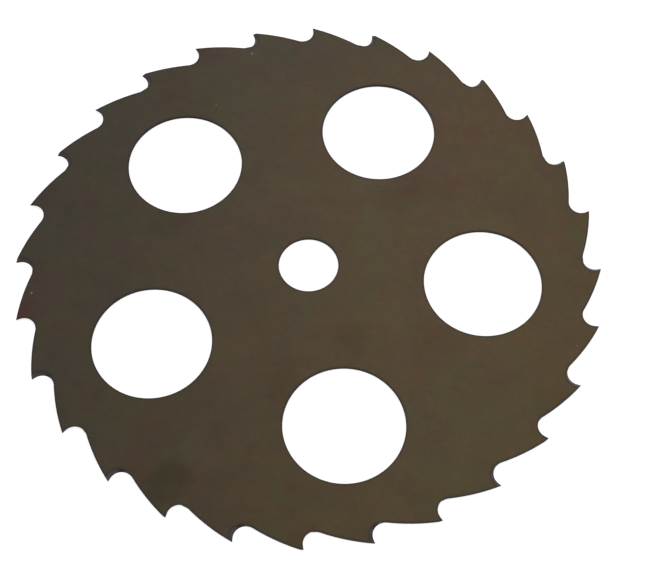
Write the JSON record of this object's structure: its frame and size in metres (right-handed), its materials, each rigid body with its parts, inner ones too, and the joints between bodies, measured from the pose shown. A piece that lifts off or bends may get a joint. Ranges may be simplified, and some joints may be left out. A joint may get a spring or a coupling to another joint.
{
  "type": "brush cutter blade",
  "caption": "Flat round steel cutting blade with hooked teeth, a central arbor bore and large round lightening holes.",
  "frame": {"origin": "on the bore's axis, at the underside of the blade, which lies flat", "axes": "+Z along the bore, up through the sheet; +X through the tip of one tooth; seen from +Z the teeth cut counter-clockwise"},
  "size_m": [0.2498, 0.2498, 0.0012],
  "materials": {
    "tempered_steel": "satin, dark bronze-brown temper colour under a thin rust-proof lacquer"
  },
  "bodies": {
    "root": {"blade": "tempered_steel"}
  },
  "joints": []
}
